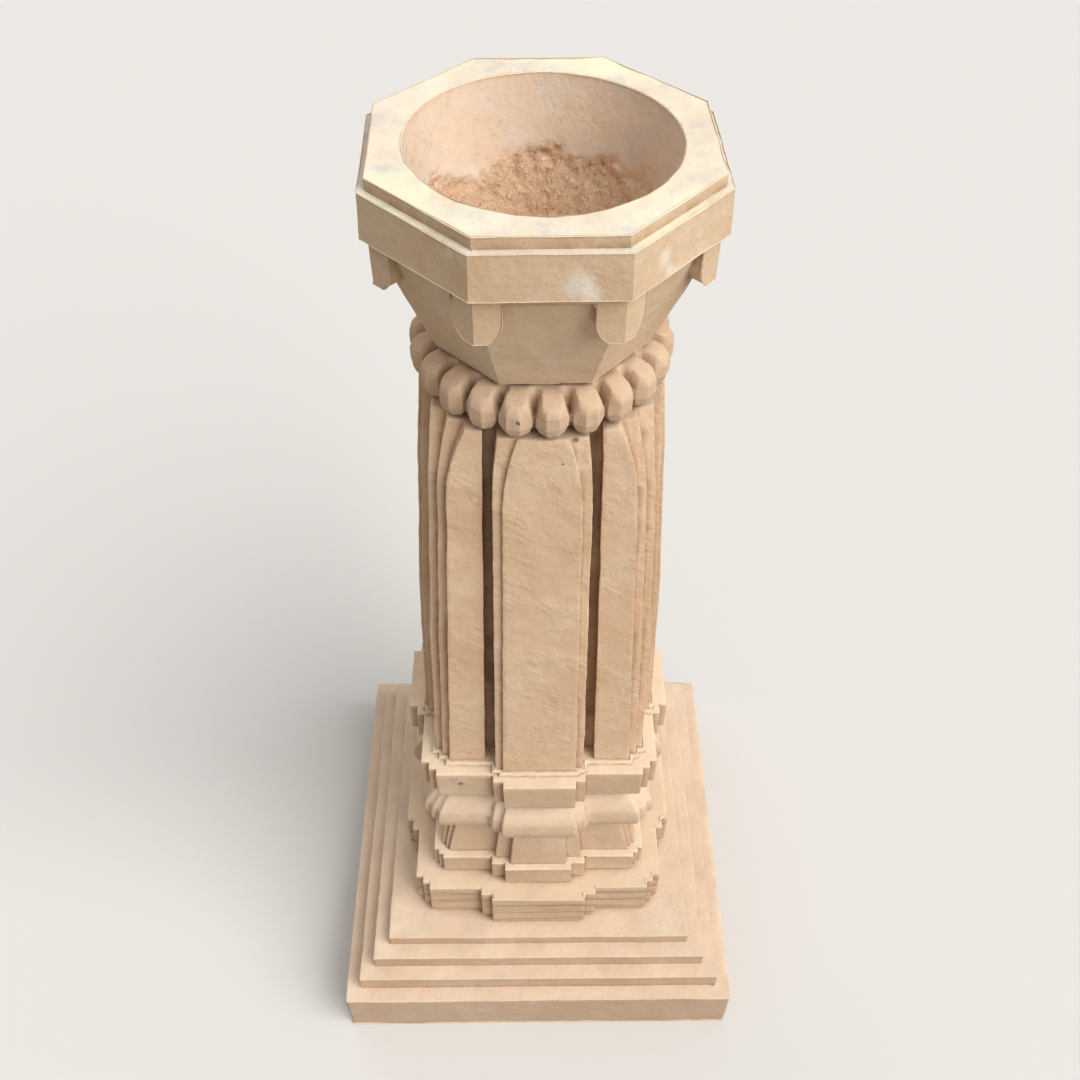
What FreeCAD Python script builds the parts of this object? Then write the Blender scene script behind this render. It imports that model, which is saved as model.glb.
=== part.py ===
"""Tulsi vrindavan planter: a carved sandstone pedestal planter, stacked from dowelled blocks.

From the ground up: a square plinth with four steps, a slab, a moulded pedestal, a fluted shaft,
a ring of beads and an octagonal bowl with a round hollow. Mortar beds lie in the joints, and
steel dowels set in grout run through them on the axis. Millimetres, +Z up, origin on the ground
at the middle of the plinth, front towards -Y.
"""
import FreeCAD, Part
import math
import os

import Sketcher
from FreeCAD import Placement, Rotation, Vector

# Driving dimensions: name, value, meaning.
# A plan is a square with a projecting face and a ledge on each side and twice-stepped corners.
# Each plan has six sizes: the reach of its face, ledge and recess from the axis, and the half
# widths at which the face, the ledge and the recess end.
SIZES = [
    ("plinth_width", 457.2, "side of the square plinth"),
    ("plinth_corner_radius", 5.0, "rounding of the plinth's upright corners"),
    ("lower_tread", 17.0, "width of the plinth's lowest step"),
    ("middle_tread", 16.8, "width of the plinth's second step"),
    ("upper_tread", 18.0, "width of the plinth's third step"),
    ("slab_rise", 70.9, "height of the plinth's bottom slab"),
    ("lower_rise", 22.8, "height of the second step"),
    ("middle_rise", 20.1, "height of the third step"),
    ("upper_rise", 15.8, "height of the fourth step"),
    ("bed_rise", 2.0, "thickness of a mortar bed"),
    ("bed_setback", 3.0, "how far a bed lies back in its joint"),
    ("base_rise", 55.7, "height of the base slab"),
    ("base_reach", 158.0, "base slab: reach of the face"),
    ("base_face_half", 54.5, "base slab: half width of the face"),
    ("base_ledge_reach", 150.5, "base slab: reach of the ledge"),
    ("base_ledge_half", 67.0, "base slab: half width at the ledge"),
    ("base_recess_reach", 143.0, "base slab: reach of the recess"),
    ("base_recess_half", 127.0, "base slab: half width at the recess"),
    ("foot_rise", 31.7, "height of the pedestal's foot"),
    ("foot_reach", 137.0, "pedestal foot: reach of the face"),
    ("foot_face_half", 39.0, "pedestal foot: half width of the face"),
    ("foot_ledge_reach", 129.0, "pedestal foot: reach of the ledge"),
    ("foot_ledge_half", 54.0, "pedestal foot: half width at the ledge"),
    ("foot_recess_reach", 121.0, "pedestal foot: reach of the recess"),
    ("foot_recess_half", 110.0, "pedestal foot: half width at the recess"),
    ("splay_rise", 61.5, "height of the pedestal's splayed part"),
    ("splay_reach", 129.5, "splay at its foot: reach of the face"),
    ("splay_face_half", 33.0, "splay at its foot: half width of the face"),
    ("splay_ledge_reach", 121.0, "splay at its foot: reach of the ledge"),
    ("splay_ledge_half", 50.0, "splay at its foot: half width at the ledge"),
    ("splay_recess_reach", 112.0, "splay at its foot: reach of the recess"),
    ("splay_recess_half", 103.5, "splay at its foot: half width at the recess"),
    ("waist_reach", 122.0, "splay at its head: reach of the face"),
    ("waist_face_half", 28.0, "splay at its head: half width of the face"),
    ("waist_ledge_reach", 113.0, "splay at its head: reach of the ledge"),
    ("waist_ledge_half", 44.0, "splay at its head: half width at the ledge"),
    ("waist_recess_reach", 103.0, "splay at its head: reach of the recess"),
    ("waist_recess_half", 91.0, "splay at its head: half width at the recess"),
    ("roll_rise", 62.0, "height of the half-round roll, twice its radius"),
    ("roll_overhang", 3.5, "how far the roll stands out past the cap"),
    ("roll_end", 9.0, "rounding of the roll's ends at the sides of the face and the ledge"),
    ("neck_rise", 19.5, "height of the neck between the roll and the cap"),
    ("neck_setback", 16.0, "how far the neck lies back from the roll"),
    ("cap_rise", 42.0, "height of the pedestal's cap"),
    ("cap_reach", 139.0, "cap: reach of the face"),
    ("cap_face_half", 38.0, "cap: half width of the face"),
    ("cap_ledge_reach", 131.0, "cap: reach of the ledge"),
    ("cap_ledge_half", 48.5, "cap: half width at the ledge"),
    ("cap_recess_reach", 123.0, "cap: reach of the recess"),
    ("cap_recess_half", 107.0, "cap: half width at the recess"),
    ("shaft_bed_rise", 3.0, "thickness of the bed under the shaft"),
    ("shaft_bed_spread", 3.5, "how far that bed is squeezed out past the shaft"),
    ("column_rise", 371.0, "height of the shaft up to its shoulder"),
    ("arch_rise", 69.0, "height of the arched tops above the shoulder"),
    ("shaft_swell", 2.5, "how far the shaft swells at half its height"),
    ("groove_depth", 15.0, "depth of the upright grooves behind the recess"),
    ("shaft_reach", 121.5, "shaft foot: reach of the face"),
    ("shaft_face_half", 38.3, "shaft foot: half width of the face"),
    ("shaft_ledge_reach", 118.0, "shaft foot: reach of the ledge"),
    ("shaft_ledge_half", 46.0, "shaft foot: half width at the ledge"),
    ("shaft_groove_half", 55.0, "shaft foot: half width at the groove"),
    ("shaft_recess_reach", 108.0, "shaft foot: reach of the recess"),
    ("shaft_recess_half", 93.5, "shaft foot: half width at the recess"),
    ("shoulder_reach", 104.3, "shoulder: reach of the face"),
    ("shoulder_face_half", 32.9, "shoulder: half width of the face"),
    ("shoulder_ledge_reach", 101.3, "shoulder: reach of the ledge"),
    ("shoulder_ledge_half", 41.0, "shoulder: half width at the ledge"),
    ("shoulder_groove_half", 46.7, "shoulder: half width at the groove"),
    ("shoulder_recess_reach", 92.8, "shoulder: reach of the recess"),
    ("shoulder_recess_half", 77.8, "shoulder: half width at the recess"),
    ("head_reach", 98.9, "shaft head: reach of the face"),
    ("head_face_half", 20.5, "shaft head: half width of the face"),
    ("head_ledge_reach", 95.9, "shaft head: reach of the ledge"),
    ("head_ledge_half", 35.5, "shaft head: half width at the ledge"),
    ("head_groove_half", 44.7, "shaft head: half width at the groove"),
    ("head_recess_reach", 87.6, "shaft head: reach of the recess"),
    ("head_recess_half", 60.5, "shaft head: half width at the recess"),
    ("ring_rise", 36.0, "height of the bead ring"),
    ("ring_core_radius", 88.0, "radius of the ring's core"),
    ("bead_count", 22, "number of beads"),
    ("bead_circle_radius", 92.5, "distance of the bead centres from the axis"),
    ("bead_half_width", 13.6, "half width of a bead, side to side"),
    ("bead_half_depth", 13.5, "half width of a bead, in and out"),
    ("bead_turn", 4.1, "degrees by which the first bead is turned from the front"),
    ("bowl_turn", 1.25, "degrees by which the bowl was set down turned on its dowel"),
    ("bowl_foot_apothem", 82.0, "octagonal bowl: apothem at the foot"),
    ("belly_rise", 53.0, "height of the bowl's lower slope"),
    ("belly_apothem", 103.0, "apothem where the slope steepens"),
    ("brow_rise", 46.3, "height of the bowl's upper slope"),
    ("brow_apothem", 118.0, "apothem at the top of the slope"),
    ("fascia_rise", 6.0, "height of the thin fascia under the band"),
    ("fascia_apothem", 122.0, "apothem of the fascia and the corner brackets"),
    ("bracket_drop", 32.3, "height of a corner bracket below the fascia"),
    ("bracket_span", 20.5, "length of a bracket along a face, from the corner"),
    ("curl_width", 10.0, "width of the curve at the foot of a bracket"),
    ("curl_rise", 17.0, "height of that curve"),
    ("band_rise", 36.0, "height of the plain band"),
    ("band_foot_apothem", 127.6, "apothem at the foot of the band"),
    ("band_head_apothem", 126.0, "apothem at the head of the band"),
    ("rim_rise", 9.2, "height of the rim above the band"),
    ("rim_apothem", 120.4, "apothem of the rim"),
    ("hollow_radius", 96.7, "radius of the hollow at the rim"),
    ("wall_radius", 82.0, "radius where the smooth wall of the hollow ends"),
    ("wall_depth", 60.0, "depth at which the smooth wall ends"),
    ("hollow_depth", 101.0, "depth of the hollow in the middle"),
    ("drain_radius", 6.0, "radius of the drain hole"),
    ("drain_fall", 20.0, "degrees by which the drain falls towards the back"),
    ("drain_start", 12.0, "distance behind the axis where the drain meets the floor"),
    ("dowel_radius", 8.0, "radius of a dowel bar"),
    ("grout_gap", 3.0, "width of the grout round a dowel"),
    ("base_dowel_grip", 60.0, "depth of the base dowel in the plinth and in the pedestal"),
    ("shaft_dowel_grip", 80.0, "depth of a dowel in the shaft and in the pedestal's cap"),
    ("bowl_dowel_grip", 30.0, "depth of the top dowel in the bowl"),
    ("overrun", 5.0, "how far a cut runs past the stone"),
]

PLAN_PARTS = ("reach", "face_half", "ledge_reach", "ledge_half", "recess_reach", "recess_half")
SIDES_OF_BOWL = 8
SIDES_OF_BEAD = 8
ROLL_STEPS = 8
ROLL_CORNER_SHARE = 0.75
ARCH_STEPS = 4
ARCH_CURVE = 1.7

# The outline of a bead, seen from the front, as shares of its height and of its half widths.
BEAD_LEVEL_SHARES = (0.0, 0.12, 0.32, 0.75, 0.93, 1.0)
BEAD_GIRTH_SHARES = (0.58, 0.82, 1.0, 1.0, 0.86, 0.66)

doc = FreeCAD.newDocument("TulsiPlanter")
sheet = doc.addObject("Spreadsheet::Sheet", "Sizes")
for row, (word, size, meaning) in enumerate(SIZES, start=1):
    sheet.set(f"A{row}", word)
    sheet.set(f"B{row}", str(size))
    sheet.setAlias(f"B{row}", word)
    sheet.set(f"C{row}", meaning)
doc.recompute()

pieces = []


# Bodies, sketches and features


def new_piece(label, level, turn="0"):
    """A body whose own zero level lies at the given level, turned about the upright axis."""
    body = doc.addObject("PartDesign::Body", label.title().replace("_", ""))
    body.Label = label
    body.Placement = Placement(Vector(0, 0, 0), Rotation(Vector(0, 0, 1), value(turn)))
    body.setExpression("Placement.Base.z", level)
    body.setExpression("Placement.Rotation.Angle", turn)
    pieces.append(body)
    return body


def value(expression):
    """What an expression over the sheet comes to now."""
    return float(sheet.evalExpression(expression))


def origin_part(body, role):
    """The body's own origin plane or axis with that role."""
    return next(item for item in body.Origin.OriginFeatures if item.Role == role)


def new_sketch(body, name, plane="XY_Plane", offset="0"):
    """An empty sketch on one of the body's origin planes, moved out along the plane's normal."""
    sketch = body.newObject("Sketcher::SketchObject", name)
    sketch.AttachmentSupport = (origin_part(body, plane), [""])
    sketch.MapMode = "FlatFace"
    sketch.setExpression("AttachmentOffset.Base.z", offset)
    return sketch


def hold(sketch, edge, end, across, up):
    """Hold one end of an edge at two distances from the sketch's origin."""
    for kind, distance in (("DistanceX", across), ("DistanceY", up)):
        index = sketch.addConstraint(
            Sketcher.Constraint(kind, -1, 1, edge, end, value(distance)))
        sketch.setExpression(f"Constraints[{index}]", distance)


def outline(body, name, corners, level="0"):
    """A closed outline of straight lines on a level plane, its corners held by the sheet."""
    sketch = new_sketch(body, name, offset=level)
    places = [Vector(value(across), value(up), 0) for across, up in corners]
    count = len(places)
    lines = [Part.LineSegment(places[i], places[(i + 1) % count]) for i in range(count)]
    sketch.addGeometry(lines, False)
    joins = [Sketcher.Constraint("Coincident", i, 2, (i + 1) % count, 1) for i in range(count)]
    sketch.addConstraint(joins)
    for i, (across, up) in enumerate(corners):
        hold(sketch, i, 1, across, up)
    return sketch


def disc(body, name, radius, level="0"):
    """A circle about the axis on a level plane."""
    sketch = new_sketch(body, name, offset=level)
    sketch.addGeometry(Part.Circle(Vector(0, 0, 0), Vector(0, 0, 1), value(radius)), False)
    sketch.addConstraint(Sketcher.Constraint("Coincident", 0, 3, -1, 1))
    index = sketch.addConstraint(Sketcher.Constraint("Radius", 0, value(radius)))
    sketch.setExpression(f"Constraints[{index}]", radius)
    return sketch


def pad(body, name, sketch, rise):
    """Raise a sketch by a height."""
    feature = body.newObject("PartDesign::Pad", name)
    feature.Profile = sketch
    feature.setExpression("Length", rise)
    return feature


def loft(body, name, sketches):
    """Straight faces from each outline to the next."""
    feature = body.newObject("PartDesign::AdditiveLoft", name)
    feature.Profile = sketches[0]
    feature.Sections = sketches[1:]
    feature.Ruled = True
    return feature


def turned(body, name, originals, count):
    """Copies of some features, evenly spaced about the axis."""
    feature = body.newObject("PartDesign::PolarPattern", name)
    feature.Originals = originals
    feature.Axis = (origin_part(body, "Z_Axis"), [""])
    feature.Angle = 360
    feature.setExpression("Occurrences", count)
    body.Tip = feature
    return feature


def socket(body, name, radius, level, depth, upwards):
    """A round hole on the axis that starts at a level and runs up or down."""
    before = cut_base(body)
    feature = body.newObject("PartDesign::Pocket", name)
    feature.Profile = disc(body, name + "Outline", radius, level)
    feature.setExpression("Length", depth)
    feature.Reversed = upwards
    return check_cut(body, feature, before)


def cut_base(body):
    """The body's volume before a cut."""
    doc.recompute()
    return body.Shape.Volume


def check_cut(body, feature, before):
    """Make sure that a cut has taken stone away."""
    doc.recompute()
    if not body.Shape.Volume < before:
        raise RuntimeError(feature.Label + " cuts nothing")
    return feature


# Plans


def plan(prefix):
    """The six sizes of a plan in the sheet, by part."""
    return {part: f"Sizes.{prefix}_{part}" for part in PLAN_PARTS}


def grown(sizes, amount):
    """The same plan with every face moved out."""
    return {part: f"({size} + {amount})" for part, size in sizes.items()}


def shrunk(sizes, amount):
    """The same plan with every face moved in."""
    return {part: f"({size} - {amount})" for part, size in sizes.items()}


def rolled(sizes, inset, ends):
    """The same plan on the roll: its faces moved in, and the ends of face and ledge by less."""
    moves = {"face_half": ends, "ledge_half": ends, "recess_half": f"{inset} * {ROLL_CORNER_SHARE}"}
    return {part: f"({size} - {moves.get(part, inset)})" for part, size in sizes.items()}


def quarter(sizes):
    """Corners of one side of a plan, from the axis to one diagonal and round to the other.

    A plan with a groove has its half width and its reach too.
    """
    corner = f"({sizes['recess_reach']} + {sizes['recess_half']}) / 2"
    valley = sizes.get("groove_reach", sizes["recess_reach"])
    half = [
        (sizes["face_half"], sizes["reach"]),
        (sizes["face_half"], sizes["ledge_reach"]),
        (sizes["ledge_half"], sizes["ledge_reach"]),
        (sizes["ledge_half"], valley),
    ]
    if "groove_half" in sizes:
        half.append((sizes["groove_half"], valley))
        half.append((sizes["groove_half"], sizes["recess_reach"]))
    half.append((sizes["recess_half"], sizes["recess_reach"]))
    half.append((sizes["recess_half"], corner))
    half.append((corner, corner))
    left = [(f"-({across})", f"-({out})") for across, out in reversed(half)]
    right = [(across, f"-({out})") for across, out in half]
    return [("0", "0")] + left + right


def square(half):
    """Corners of a square about the axis."""
    return [(f"-({half})", f"-({half})"), (half, f"-({half})"), (half, half), (f"-({half})", half)]


def octagon(apothem):
    """Corners of the bowl's octagon, with a flat face to the front."""
    step = 360 / SIDES_OF_BOWL
    radius = f"{apothem} / cos({step / 2})"
    turns = [step * (side + 1 / 2) for side in range(SIDES_OF_BOWL)]
    return [(f"{radius} * cos({turn})", f"{radius} * sin({turn})") for turn in turns]


# Levels, from the ground up

PLINTH_TOP = "(Sizes.slab_rise + Sizes.lower_rise + Sizes.middle_rise + Sizes.upper_rise)"
SLAB_FOOT = f"({PLINTH_TOP} + Sizes.bed_rise)"
SLAB_TOP = f"({SLAB_FOOT} + Sizes.base_rise)"
PEDESTAL_FOOT = f"({SLAB_TOP} + Sizes.bed_rise)"
PEDESTAL_RISE = ("(Sizes.foot_rise + Sizes.splay_rise + Sizes.roll_rise"
                 " + Sizes.neck_rise + Sizes.cap_rise)")
PEDESTAL_TOP = f"({PEDESTAL_FOOT} + {PEDESTAL_RISE})"
SHAFT_FOOT = f"({PEDESTAL_TOP} + Sizes.shaft_bed_rise)"
SHAFT_RISE = "(Sizes.column_rise + Sizes.arch_rise)"
SHAFT_TOP = f"({SHAFT_FOOT} + {SHAFT_RISE})"
RING_FOOT = f"({SHAFT_TOP} + Sizes.bed_rise)"
RING_TOP = f"({RING_FOOT} + Sizes.ring_rise)"
BOWL_FOOT = f"({RING_TOP} + Sizes.bed_rise)"
BOWL_RISE = ("(Sizes.belly_rise + Sizes.brow_rise + Sizes.fascia_rise"
             " + Sizes.band_rise + Sizes.rim_rise)")
SOCKET_RADIUS = "(Sizes.dowel_radius + Sizes.grout_gap)"


# The plinth: one square block with four steps


def make_plinth():
    body = new_piece("plinth", "0")
    steps = [("Slab", "Sizes.slab_rise", "0"),
             ("Lower", "Sizes.lower_rise", "Sizes.lower_tread"),
             ("Middle", "Sizes.middle_rise", "Sizes.middle_tread"),
             ("Upper", "Sizes.upper_rise", "Sizes.upper_tread")]
    half = "Sizes.plinth_width / 2"
    level = "0"
    for name, rise, tread in steps:
        half = f"{half} - {tread}"
        pad(body, name + "Step", outline(body, name + "Plan", square(f"({half})"), level), rise)
        level = f"{level} + {rise}"
        doc.recompute()
    stepped = body.Tip
    upright = []
    for number, edge in enumerate(stepped.Shape.Edges, start=1):
        low, high = sorted((edge.Vertexes[0].Z, edge.Vertexes[-1].Z))
        if low == 0 and high > 0:
            upright.append(f"Edge{number}")
    rounding = body.newObject("PartDesign::Fillet", "UprightCorners")
    rounding.Base = (stepped, upright)
    rounding.setExpression("Radius", "Sizes.plinth_corner_radius")
    body.Tip = rounding
    socket(body, "DowelSocket", SOCKET_RADIUS, PLINTH_TOP, "Sizes.base_dowel_grip", False)


# The base slab, whose faces keep their saw lines


def make_base_slab():
    body = new_piece("base_slab", SLAB_FOOT)
    side = pad(body, "Side", outline(body, "SidePlan", quarter(plan("base"))), "Sizes.base_rise")
    turned(body, "FourSides", [side], "4")
    socket(body, "DowelHole", SOCKET_RADIUS, "0", "Sizes.base_rise", True)


# The pedestal: foot, splay, roll, neck and cap, carved from one block


def make_pedestal():
    body = new_piece("pedestal", PEDESTAL_FOOT)
    foot = pad(body, "Foot", outline(body, "FootPlan", quarter(plan("foot"))), "Sizes.foot_rise")
    level = "Sizes.foot_rise"
    splay = loft(body, "Splay", [
        outline(body, "SplayFootPlan", quarter(plan("splay")), level),
        outline(body, "SplayHeadPlan", quarter(plan("waist")), level + " + Sizes.splay_rise")])
    level = level + " + Sizes.splay_rise"
    roll_plan = grown(plan("cap"), "Sizes.roll_overhang")
    rounds = []
    for step in range(ROLL_STEPS + 1):
        swing = 180 * step / ROLL_STEPS - 90
        inset = f"Sizes.roll_rise / 2 * (1 - cos({swing}))"
        ends = f"Sizes.roll_end * (1 - cos({swing}))"
        height = f"{level} + Sizes.roll_rise / 2 * (1 + sin({swing}))"
        round_plan = quarter(rolled(roll_plan, inset, ends))
        rounds.append(outline(body, f"RollPlan{step}", round_plan, height))
    roll = loft(body, "Roll", rounds)
    level = level + " + Sizes.roll_rise"
    neck_plan = quarter(rolled(roll_plan, "Sizes.neck_setback", "Sizes.roll_end"))
    neck = pad(body, "Neck", outline(body, "NeckPlan", neck_plan, level), "Sizes.neck_rise")
    level = level + " + Sizes.neck_rise"
    cap = pad(body, "Cap", outline(body, "CapPlan", quarter(plan("cap")), level), "Sizes.cap_rise")
    turned(body, "FourSides", [foot, splay, roll, neck, cap], "4")
    socket(body, "FootSocket", SOCKET_RADIUS, "0", "Sizes.base_dowel_grip", True)
    socket(body, "HeadSocket", SOCKET_RADIUS, PEDESTAL_RISE, "Sizes.shaft_dowel_grip", False)


# The shaft: a front panel, grooves, side panels and stepped corners under nested arches


def shaft_plan(prefix):
    """A plan of the shaft, with its groove."""
    sizes = plan(prefix)
    sizes["groove_half"] = f"Sizes.{prefix}_groove_half"
    sizes["groove_reach"] = f"(Sizes.{prefix}_recess_reach - Sizes.groove_depth)"
    return sizes


def between(low, high, reach_share, half_share, swell="0"):
    """A plan between two others: its reaches by one share, its half widths by another."""
    sizes = {}
    for part, size in low.items():
        share = reach_share if part.endswith("reach") else half_share
        sizes[part] = f"({size} + ({high[part]} - {size}) * {share})"
        if part.endswith("reach"):
            sizes[part] = f"({sizes[part]} + {swell})"
    return sizes


def make_shaft():
    body = new_piece("shaft", SHAFT_FOOT)
    foot = shaft_plan("shaft")
    shoulder = shaft_plan("shoulder")
    head = shaft_plan("head")
    middle = between(foot, shoulder, "1 / 2", "1 / 2", "Sizes.shaft_swell")
    levels = [("Foot", foot, "0"),
              ("Middle", middle, "Sizes.column_rise / 2"),
              ("Shoulder", shoulder, "Sizes.column_rise")]
    for step in range(1, ARCH_STEPS + 1):
        rise_share = step / ARCH_STEPS
        width_share = rise_share ** ARCH_CURVE
        sizes = between(shoulder, head, rise_share, width_share)
        level = f"Sizes.column_rise + Sizes.arch_rise * {rise_share}"
        levels.append((f"Arch{step}", sizes, level))
    outlines = [outline(body, name + "Plan", quarter(sizes), level)
                for name, sizes, level in levels]
    side = loft(body, "Side", outlines)
    turned(body, "FourSides", [side], "4")
    socket(body, "FootSocket", SOCKET_RADIUS, "0", "Sizes.shaft_dowel_grip", True)
    socket(body, "HeadSocket", SOCKET_RADIUS, SHAFT_RISE, "Sizes.shaft_dowel_grip", False)


# The bead ring: a disc carved all round as faceted beads


def bead_outline(girth_share):
    """Corners of a level cut through the front bead."""
    step = 360 / SIDES_OF_BEAD
    corners = []
    for side in range(SIDES_OF_BEAD):
        turn = step * (side + 1 / 2)
        across = f"Sizes.bead_half_width * {girth_share} * cos({turn}) / cos({step / 2})"
        out = f"Sizes.bead_half_depth * {girth_share} * sin({turn}) / cos({step / 2})"
        corners.append((across, f"{out} - Sizes.bead_circle_radius"))
    return corners


def make_bead_ring():
    body = new_piece("bead_ring", RING_FOOT, "Sizes.bead_turn")
    pad(body, "Core", disc(body, "CoreOutline", "Sizes.ring_core_radius"), "Sizes.ring_rise")
    cuts = [outline(body, f"BeadCut{number}", bead_outline(girth_share),
                    f"Sizes.ring_rise * {level_share}")
            for number, (level_share, girth_share)
            in enumerate(zip(BEAD_LEVEL_SHARES, BEAD_GIRTH_SHARES))]
    bead = loft(body, "Bead", cuts)
    turned(body, "Beads", [bead], "Sizes.bead_count")
    socket(body, "DowelHole", SOCKET_RADIUS, "0", "Sizes.ring_rise", True)


# The bowl: an octagonal block with corner brackets, a round hollow and a drain


def bracket_opening(body):
    """The gap between two brackets, drawn on the front face of the fascia."""
    sketch = new_sketch(body, "OpeningOutline", "XZ_Plane", "Sizes.fascia_apothem")
    side = f"(Sizes.fascia_apothem * tan({180 / SIDES_OF_BOWL}) - Sizes.bracket_span)"
    toe = f"({side} + Sizes.curl_width)"
    head = "(Sizes.belly_rise + Sizes.brow_rise)"
    foot = f"({head} - Sizes.bracket_drop)"
    curl = f"({foot} + Sizes.curl_rise)"
    below = f"({foot} - Sizes.overrun)"
    bend = "((Sizes.curl_width ^ 2 + Sizes.curl_rise ^ 2) / 2 / Sizes.curl_width)"
    centre = f"({side} + {bend})"
    right = [(side, head), (side, curl), (toe, foot), (toe, below)]
    left = [(f"-{across}", up) for across, up in reversed(right)]
    corners = right + left
    places = [Vector(value(across), value(up), 0) for across, up in corners]
    count = len(places)
    swing = math.asin(value("Sizes.curl_rise") / value(bend))
    arcs = {1: (centre, math.pi, math.pi + swing), 5: (f"-{centre}", -swing, 0)}
    for i in range(count):
        if i in arcs:
            across, first, last = arcs[i]
            middle = Vector(value(across), value(curl), 0)
            circle = Part.Circle(middle, Vector(0, 0, 1), value(bend))
            edge = Part.ArcOfCircle(circle, first, last)
        else:
            edge = Part.LineSegment(places[i], places[(i + 1) % count])
        sketch.addGeometry(edge, False)
    for i, (across, up) in enumerate(corners):
        hold(sketch, i, 1, across, up)
        sketch.addConstraint(Sketcher.Constraint("Coincident", (i - 1) % count, 2, i, 1))
    for i, (across, first, last) in arcs.items():
        index = sketch.addConstraint(
            Sketcher.Constraint("DistanceX", -1, 1, i, 3, value(across)))
        sketch.setExpression(f"Constraints[{index}]", across)
    return sketch


def hollow_outline(body):
    """Half of the hollow's upright section: a sloping wall above a round floor."""
    sketch = new_sketch(body, "HollowOutline", "XZ_Plane")
    over = f"({BOWL_RISE} + Sizes.overrun)"
    wall_end = f"({BOWL_RISE} - Sizes.wall_depth)"
    floor = f"({BOWL_RISE} - Sizes.hollow_depth)"
    corners = [("0", over), ("Sizes.hollow_radius", over), ("Sizes.hollow_radius", BOWL_RISE),
               ("Sizes.wall_radius", wall_end), ("0", floor)]
    places = [Vector(value(across), value(up), 0) for across, up in corners]
    sagitta = value("Sizes.hollow_depth - Sizes.wall_depth")
    chord = value("Sizes.wall_radius")
    radius = (chord ** 2 + sagitta ** 2) / (2 * sagitta)
    centre = Vector(0, places[4].y + radius, 0)
    circle = Part.Circle(centre, Vector(0, 0, 1), radius)
    turn = math.asin(chord / radius)
    for i in range(3):
        sketch.addGeometry(Part.LineSegment(places[i], places[i + 1]), False)
    sketch.addGeometry(Part.ArcOfCircle(circle, -math.pi / 2, -math.pi / 2 + turn), False)
    sketch.addGeometry(Part.LineSegment(places[4], places[0]), False)
    for i in range(4):
        hold(sketch, min(i, 2), 1 if i < 3 else 2, *corners[i])
    joins = ((0, 2, 1, 1), (1, 2, 2, 1), (2, 2, 3, 2), (3, 1, 4, 1), (4, 2, 0, 1))
    for first, first_end, second, second_end in joins:
        sketch.addConstraint(
            Sketcher.Constraint("Coincident", first, first_end, second, second_end))
    hold(sketch, 4, 1, *corners[4])
    sketch.addConstraint(Sketcher.Constraint("PointOnObject", 3, 3, -2))
    return sketch


def make_bowl():
    body = new_piece("bowl", BOWL_FOOT, "Sizes.bowl_turn")
    band_foot = "Sizes.belly_rise + Sizes.brow_rise + Sizes.fascia_rise"
    rim_foot = band_foot + " + Sizes.band_rise"
    bracket_foot = "Sizes.belly_rise + Sizes.brow_rise - Sizes.bracket_drop"
    fascia = outline(body, "FasciaPlan", octagon("Sizes.fascia_apothem"), bracket_foot)
    pad(body, "Fascia", fascia, "Sizes.bracket_drop + Sizes.fascia_rise")
    before = cut_base(body)
    opening = body.newObject("PartDesign::Pocket", "Opening")
    opening.Profile = bracket_opening(body)
    opening.setExpression("Length", "Sizes.fascia_apothem - Sizes.bowl_foot_apothem")
    check_cut(body, opening, before)
    turned(body, "Openings", [opening], str(SIDES_OF_BOWL))
    loft(body, "Slopes", [
        outline(body, "FootPlan", octagon("Sizes.bowl_foot_apothem")),
        outline(body, "BellyPlan", octagon("Sizes.belly_apothem"), "Sizes.belly_rise"),
        outline(body, "BrowPlan", octagon("Sizes.brow_apothem"),
                "Sizes.belly_rise + Sizes.brow_rise")])
    loft(body, "Band", [
        outline(body, "BandFootPlan", octagon("Sizes.band_foot_apothem"), band_foot),
        outline(body, "BandHeadPlan", octagon("Sizes.band_head_apothem"), rim_foot)])
    pad(body, "Rim", outline(body, "RimPlan", octagon("Sizes.rim_apothem"), rim_foot),
        "Sizes.rim_rise")
    before = cut_base(body)
    hollow = body.newObject("PartDesign::Groove", "Hollow")
    hollow.Profile = hollow_outline(body)
    hollow.ReferenceAxis = (origin_part(body, "Z_Axis"), [""])
    hollow.Angle = 360
    check_cut(body, hollow, before)
    make_drain(body)
    socket(body, "DowelSocket", SOCKET_RADIUS, "0", "Sizes.bowl_dowel_grip", True)


def make_drain(body):
    """A hole drilled from the back of the bowl up to the middle of its floor."""
    before = cut_base(body)
    drain = body.newObject("PartDesign::SubtractiveCylinder", "Drain")
    drain.setExpression("Radius", "Sizes.drain_radius")
    drain.setExpression("Height", "Sizes.fascia_apothem")
    fall = value("Sizes.drain_fall")
    drain.Placement = Placement(Vector(0, 0, 0), Rotation(Vector(-1, 0, 0), 90 + fall))
    drain.setExpression("Placement.Rotation.Angle", "90 + Sizes.drain_fall")
    drain.setExpression("Placement.Base.y", "Sizes.drain_start")
    drain.setExpression("Placement.Base.z", f"{BOWL_RISE} - Sizes.hollow_depth")
    check_cut(body, drain, before)


# Mortar beds in the joints, dowels on the axis and the grout round them


def make_stepped_bed(label, level, sizes, rise):
    body = new_piece(label, level)
    side = pad(body, "Side", outline(body, "SidePlan", quarter(sizes)), rise)
    turned(body, "FourSides", [side], "4")
    socket(body, "DowelHole", SOCKET_RADIUS, "0", rise, True)


def make_round_bed(label, level, radius):
    body = new_piece(label, level)
    pad(body, "Bed", disc(body, "BedOutline", radius), "Sizes.bed_rise")
    socket(body, "DowelHole", SOCKET_RADIUS, "0", "Sizes.bed_rise", True)


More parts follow.
